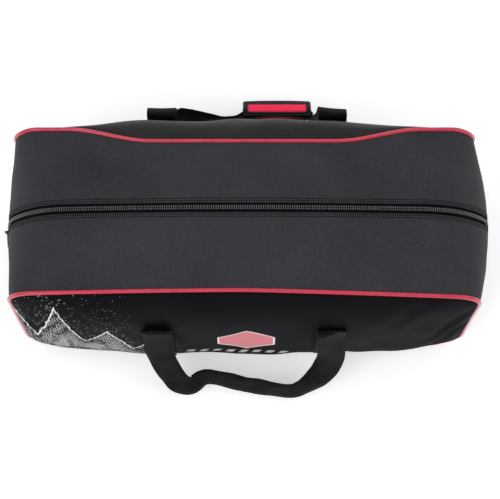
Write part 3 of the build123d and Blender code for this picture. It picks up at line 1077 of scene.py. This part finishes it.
def pad_end(rim, way):
    """Rows that close one end of the pad, each smaller and a little further out."""
    hub = rim.mean(axis=0)
    rows = []
    for shrink in pad_shrinks:
        row = hub + (rim - hub) * shrink
        row[:, 0] = rim[0, 0] + way * pad_bulge * (1 - shrink)
        rows.append(row)
    return rows


pad_rows = np.array(
    pad_end(pad_rows[0], -1)[::-1] + pad_rows + pad_end(pad_rows[-1], 1)
)
pad_faces = grid_faces(len(pad_rows), pad_sides, close_columns=True)
pad_faces += end_caps(len(pad_rows), pad_sides)
pad_uv = spread(pad_rows[:, 0, 0], np.linspace(0, 0.16, pad_sides))
grip_pad = face_outwards(
    make_piece("grip_pad", pad_rows, pad_faces, binding_cloth, pad_uv)
)
print("grip pad", len(pad_faces), "faces")

# %% The grip's cloths
inner_ends, flap_ends, ribs_ends = 0.010, 0.001, 0.0085
grip_inner, grip_inner_trim = grip_sheet(
    "grip_inner_cloth", -0.0560, -0.0090, 0.0002, grip_cloth, "rear_handle",
    ends=inner_ends, curve=0.0095,
)
flap_cloth, flap_trim = grip_sheet(
    "grip_flap_cloth", 0.0035, 0.0640, 0.0008, binding_cloth, "grip_closure",
    ends=flap_ends,
)
flap_ribs, flap_ribs_trim = grip_sheet(
    "grip_flap_ribs", 0.0080, 0.0315, 0.0019, grip_ribs_cloth_painted_glow, "grip_closure",
    ribs=(0.0125, 0.0198, 0.0270), ends=ribs_ends,
)

# %% [markdown]
# Zip teeth and stitches repeat hundreds of times along a line, so Geometry
# Nodes lay them: the line is resampled to the pitch, a small rounded shape
# goes on each point, turned along the line and stood on the cloth, and the
# result is turned into plain mesh.


# %% The tree that lays small shapes along a line
def laying_tree():
    tree = bpy.data.node_groups.new("Lay along a line", "GeometryNodeTree")
    face = tree.interface
    face.new_socket("Line", in_out="INPUT", socket_type="NodeSocketGeometry")
    pitch = face.new_socket("Pitch", in_out="INPUT", socket_type="NodeSocketFloat")
    size = face.new_socket("Size", in_out="INPUT", socket_type="NodeSocketVector")
    finish = face.new_socket("Finish", in_out="INPUT", socket_type="NodeSocketMaterial")
    face.new_socket("Shapes", in_out="OUTPUT", socket_type="NodeSocketGeometry")
    start = add_node(tree, "NodeGroupInput").outputs
    curve = add_node(tree, "GeometryNodeMeshToCurve", {"Mesh": start["Line"]})
    steps = add_node(
        tree, "GeometryNodeResampleCurve",
        {"Curve": curve.outputs["Curve"], "Length": start["Pitch"]}, mode="LENGTH",
    )
    ball = add_node(
        tree, "GeometryNodeMeshUVSphere", {"Segments": 6, "Rings": 4, "Radius": 0.5}
    )
    shape = add_node(
        tree, "GeometryNodeTransform",
        {"Geometry": ball.outputs["Mesh"], "Scale": start["Size"]},
    )
    tangent = add_node(tree, "GeometryNodeInputTangent")
    stand = add_node(
        tree, "GeometryNodeInputNamedAttribute", {"Name": "stand"},
        data_type="FLOAT_VECTOR",
    )
    turn = add_node(
        tree, "FunctionNodeAlignRotationToVector",
        {"Vector": tangent.outputs["Tangent"]}, axis="X",
    )
    lift = add_node(
        tree, "FunctionNodeAlignRotationToVector",
        {"Rotation": turn.outputs["Rotation"], "Vector": stand.outputs["Attribute"]},
        axis="Z", pivot_axis="X",
    )
    lay = add_node(tree, "GeometryNodeInstanceOnPoints", {
        "Points": steps.outputs["Curve"], "Instance": shape.outputs["Geometry"],
        "Rotation": lift.outputs["Rotation"],
    })
    real = add_node(
        tree, "GeometryNodeRealizeInstances", {"Geometry": lay.outputs["Instances"]}
    )
    coat = add_node(
        tree, "GeometryNodeSetMaterial",
        {"Geometry": real.outputs["Geometry"], "Material": start["Finish"]},
    )
    add_node(tree, "NodeGroupOutput", {"Shapes": coat.outputs["Geometry"]})
    return tree, (pitch.identifier, size.identifier, finish.identifier)


lay_tree, lay_sockets = laying_tree()
print("laying tree of", len(lay_tree.nodes), "nodes")


def lay_along(name, lines, ups, pitch, size, finish):
    """Lays shapes on each line; ups holds the outward directions along it."""
    points, edges, stands = [], [], []
    for line, up in zip(lines, ups):
        base = len(points)
        points += [tuple(p) for p in line]
        stands += [tuple(u) for u in up]
        edges += [(base + i, base + i + 1) for i in range(len(line) - 1)]
    mesh = bpy.data.meshes.new(name)
    mesh.from_pydata(points, edges, [])
    stand = mesh.attributes.new("stand", "FLOAT_VECTOR", "POINT")
    stand.data.foreach_set("vector", np.array(stands, float).ravel())
    piece = bpy.data.objects.new(name, mesh)
    bpy.context.scene.collection.objects.link(piece)
    layer = piece.modifiers.new("lay", "NODES")
    layer.node_group = lay_tree
    for socket, value in zip(lay_sockets, (pitch, size, finish)):
        layer[socket] = value
    bake_modifiers(piece)
    piece.data.polygons.foreach_set("use_smooth", [True] * len(piece.data.polygons))
    return piece


def join(name, pieces):
    for piece in pieces:
        piece.select_set(True)
    with bpy.context.temp_override(
        active_object=pieces[0], object=pieces[0],
        selected_objects=pieces, selected_editable_objects=pieces,
    ):
        bpy.ops.object.join()
    pieces[0].select_set(False)
    pieces[0].name = pieces[0].data.name = name
    return pieces[0]


# %% [markdown]
# The zip is a cloth tape on each side of the mouth with a nylon coil along its edge, a
# folded edge of the bag's cloth over it, and two rows of stitches. The coil's light grey is
# partly its own colour and partly painted glints. The folded edge is a near-black tube:
# painted shade, the dark of the gap under the fold. It is made in runs that match the
# cloth: a middle run and two corner runs along the mouth, and the tails down the ends,
# which stay on the bag.


# %% The zip
def strip_line(rows, y, lift):
    """A line on the strip at a distance y from its middle, with its normals."""
    rows = [r % loop_count for r in rows]
    half_wide = np.abs((rear_seam[rows, 1] - front_seam[rows, 1]) / 2)
    points = np.array([
        [np.interp(y / half, across, strip[row, :, i]) for i in range(3)]
        for row, half in zip(rows, half_wide)
    ])
    out = strip_out[rows, half_columns]
    return points + out * lift, out


tape_edges = np.array([0.0009, 0.005, 0.011, 0.017])
tape_depth, tape_thick = -0.0022, 0.0008
coil_y, coil_lift, coil_pitch = 0.0018, 0.0002, 0.0038
coil_size = (0.0018, 0.0032, 0.0026)
# The edge tube is a near-black line of painted shade along the fold of the cloth, thicker
# on the front side.
edge_shade_y, edge_shade_lift = 0.0072, -0.0004
edge_shade_radius = {-1: 0.0016, 1: 0.0011}
topstitch_ys, topstitch_lift, topstitch_pitch = (0.0118, 0.0160), 0.0003, 0.0042
topstitch_size = (0.0036, 0.0015, 0.0010)


def zip_run(name, rows, side):
    rows = list(rows)
    ways = side * tape_edges
    grid = np.stack([strip_line(rows, y, tape_depth)[0] for y in ways], axis=1)
    uv = spread(along(grid[:, 0]), ways)
    faces = grid_faces(len(rows), len(ways))
    tape = make_piece(name + "_tape", grid, faces, tape_cloth, uv)
    outward = Vector(strip_out[rows[0] % loop_count, half_columns])
    if tape.data.polygons[0].normal.dot(outward) < 0:
        tape.data.flip_normals()
    thicken(tape, tape_thick)
    coil_line, out = strip_line(rows, side * coil_y, coil_lift)
    coil = lay_along(
        name + "_coil", [coil_line], [out], coil_pitch, coil_size, coil_glint_finish
    )
    # Painted shade: a near-black tube where the cloth folds over the tape.
    edge_line, _ = strip_line(rows, side * edge_shade_y, edge_shade_lift)
    edge = tube(name + "_edge", edge_line, edge_shade_radius[side], zip_edge_shade_finish, 6)
    lines, ups = zip(*(strip_line(rows, side * y, topstitch_lift) for y in topstitch_ys))
    thread = lay_along(
        name + "_thread", lines, ups, topstitch_pitch, topstitch_size, zip_thread_finish
    )
    return join(name, [tape, coil, edge, thread])


# %% The zip's runs and tails
zip_pieces = []
for side, side_name in side_names.items():
    for run_name, (corner, rows) in runs.items():
        piece = zip_run(f"zip_{side_name}_{run_name}", rows, side)
        zip_pieces.append((piece, side, corner))
zip_tails = {}
for name, first, last, step in (
    ("right", right_cut, starts["low right"], 1),
    ("left", left_cut, starts["left"], -1),
):
    rows = [r for r in range(first, last, step) if middle[r % loop_count, 2] > tail_low]
    halves = [zip_run(f"tail_{name}_{side_names[side]}", rows, side) for side in (-1, 1)]
    zip_tails[name] = join(f"zip_tail_{name}", halves)
print("zip runs", [p.name for p, _, _ in zip_pieces], list(zip_tails))

# %% [markdown]
# Sewn lines hold the webbing: two rows down each strap and two across its top.
# The same tree that lays the zip's teeth lays the stitches.

# %% Stitches on the straps
stitch_size, stitch_pitch = (0.0030, 0.0009, 0.0007), 0.0043
stitch_x, stitch_lift = 0.0215, 0.0036
stitch_foot, stitch_top = webbing_foot + 0.006, fold_z - 0.006
cross_zs = (fold_z - 0.008, fold_z - fold_long)


def stitch_row(side, x, offsets, heights):
    """A line of stitches on the strap at x, and its outward directions. A strap is
    flat across its width, so the line lies as far out as the strap's middle."""
    line = [
        (x + offset, panel_y(side, x, z) + side * stitch_lift, z)
        for offset, z in zip(offsets, heights)
    ]
    return np.array(line), np.tile([0.0, side, 0.0], (len(line), 1))


strap_thread = []
for side, side_name in side_names.items():
    rows = []
    for x in strap_places[side]:
        for offset in (-stitch_x, stitch_x):
            heights = np.linspace(stitch_foot, stitch_top, 50)
            rows.append(stitch_row(side, x, np.full(50, offset), heights))
        for z in cross_zs:
            offsets = np.linspace(-stitch_x, stitch_x, 10)
            rows.append(stitch_row(side, x, offsets, np.full(10, z)))
    lines, ups = zip(*rows)
    strap_thread.append(lay_along(
        f"{side_name}_strap_thread", lines, ups, stitch_pitch, stitch_size, thread_finish
    ))
print("strap thread", [len(p.data.polygons) for p in strap_thread])

# %% [markdown]
# Inside the bag a tape is folded over each seam allowance and sewn down. It
# follows its seam a little further in, so it is a flattened tube on the same
# loop.

# %% Inside: the bindings over the seam allowances
binding_inset, binding_set_back = 0.0065, 0.0045
seam_binding_radius, seam_binding_squeeze = 0.0035, 0.5
bindings = {}
for side, side_name in side_names.items():
    line = seam_loop(side)
    inward = unit((middle_of_bag - line) * np.array([1, 0, 1]))
    line = line + inward * binding_inset
    line[:, 1] -= side * binding_set_back
    bindings[side] = tube(
        f"{side_name}_seam_binding_tape", line, seam_binding_radius, binding_finish,
        sides=8, closed=True, squeeze=seam_binding_squeeze,
    )
print("bindings", [p.name for p in bindings.values()])

# %% [markdown]
# Most pieces now move with a CAD body, and the CAD nodes they stand for are hidden. The
# cloth and zip runs along the mouth only have their placement baked into their meshes.


# %% Bodies
def settle(piece, slot, *nodes, body="bag"):
    """A piece that moves with one body, and the CAD nodes it replaces, which are hidden.
    The slot argument is not used.
    """
    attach(piece, body)
    if nodes:
        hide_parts(*nodes)


for piece, side, corner in cloth_pieces:
    flap_blend(piece)
    if corner == 0:
        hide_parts(f"top_{side_names[side]}_panel")
for piece, side, corner in zip_pieces:
    flap_blend(piece)
    if corner == 0:
        where = side_names[side]
        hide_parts(f"zip_tape_{where}", f"zip_coil_{where}")
for name, piece in zip_tails.items():
    settle(piece, "zip_tape", f"{name}_zip_tapes", f"{name}_zip_coils")
print("cloth and zip settled", len(cloth_pieces) + len(zip_pieces) + len(zip_tails))

# %% The CAD nodes the pieces stand for
settle(gusset, "gusset_fabric", "left_end_panel", "right_end_panel", "bottom_panel")
settle(front_panel, "panel_fabric", "front_panel")
settle(rear_panel, "panel_fabric", "rear_panel")
for side, side_name in side_names.items():
    settle(pipings[side], "piping", f"{side_name}_piping")
    settle(bindings[side], "binding", f"{side_name}_seam_binding")
for piece, node in sewn_straps:
    settle(piece, "webbing", node)
for piece in strap_thread:
    settle(piece, "webbing")
settle(front_handle, "webbing", "front_handle_webbing", body="front_handle")
settle(rear_handle, "webbing", "rear_handle_webbing", body="rear_handle")
pad_nodes = ("grip_foam_inner", "grip_foam_outer", "grip_sleeve", "grip_loop_strip")
settle(grip_pad, "grip_fabric", *pad_nodes, body="rear_handle")
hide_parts("grip_inner_panel")
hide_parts("grip_flap", "grip_flap_panel", "grip_hook_strip")
print("all pieces settled")

# %% [markdown]
# The zip's slider, pull and stops and the base board stay as CAD nodes, and each gets a
# finish.

# %% Finishes on the CAD nodes that stay
kept_nodes = {
    "zip_slider": metal_finish, "zip_pull": metal_finish,
    "left_zip_stop": metal_finish, "right_zip_stop": metal_finish,
    "base_board": board_finish,
}
for node, finish in kept_nodes.items():
    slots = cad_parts[node].material_slots
    for slot in slots:
        slot.material = finish
    if not slots:
        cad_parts[node].data.materials.append(finish)
print("kept nodes painted", list(kept_nodes))

# %% [markdown]
# The bag stands on a pale floor under a big soft light, seen from high in
# front, with a long lens.

# %% The floor
floor_finish, _, _ = new_finish(
    "floor_pale", Base_Color=(0.93, 0.93, 0.93, 1), Roughness=0.9,
    Specular_IOR_Level=0.1, Emission_Color=(1, 1, 1, 1), Emission_Strength=0.40,
)
floor_reach, floor_z = 9, -0.0012
floor_corners = [
    (x * floor_reach, y * floor_reach, floor_z)
    for x, y in ((-1, -1), (1, -1), (1, 1), (-1, 1))
]
floor = make_piece("floor", floor_corners, [(0, 1, 2, 3)], floor_finish, smooth=False)
print("floor at", floor_z)


# %% The lights
def soft_light(name, place, target, size, power):
    data = bpy.data.lights.new(name, "AREA")
    data.shape = "SQUARE"
    data.size = size
    data.energy = power
    lamp = bpy.data.objects.new(name, data)
    lamp.location = place
    direction = Vector(target) - Vector(place)
    lamp.rotation_euler = direction.to_track_quat("-Z", "Y").to_euler()
    bpy.context.scene.collection.objects.link(lamp)
    return lamp


bag_middle = (0, 0, 0.2)
soft_light("key", (-1.2, -1.4, 2.6), bag_middle, 1.6, 22)
soft_light("fill", (1.8, -0.6, 2.2), bag_middle, 1.8, 10)
soft_light("back", (0.2, 2.2, 1.8), bag_middle, 1.4, 5)
print("lights placed")

# %% The world: dimmer for the lighting than for the camera, which sees white
world = bpy.context.scene.world or bpy.data.worlds.new("studio")
bpy.context.scene.world = world
bpy.context.scene.view_settings.view_transform = "Standard"
world.use_nodes = True
sky = world.node_tree.nodes["Background"].inputs
sky["Color"].default_value = (1, 1, 1, 1)
sky_light = 0.62
seen = add_node(world.node_tree, "ShaderNodeLightPath").outputs["Is Camera Ray"]
glow = math_node(world.node_tree, "MULTIPLY_ADD", seen, 1 - sky_light, sky_light)
world.node_tree.links.new(glow, sky["Strength"])

# %% The camera
lens = bpy.data.cameras.new("camera")
lens.sensor_width = 36
lens.lens = 117.9
camera = bpy.data.objects.new("camera", lens)
camera.location = (0.00977, -0.8323, 3.0153)
camera.rotation_euler = (math.radians(15.97), 0, 0)
bpy.context.scene.collection.objects.link(camera)
bpy.context.scene.camera = camera
print("camera at", tuple(camera.location))

bpy.context.view_layer.update()
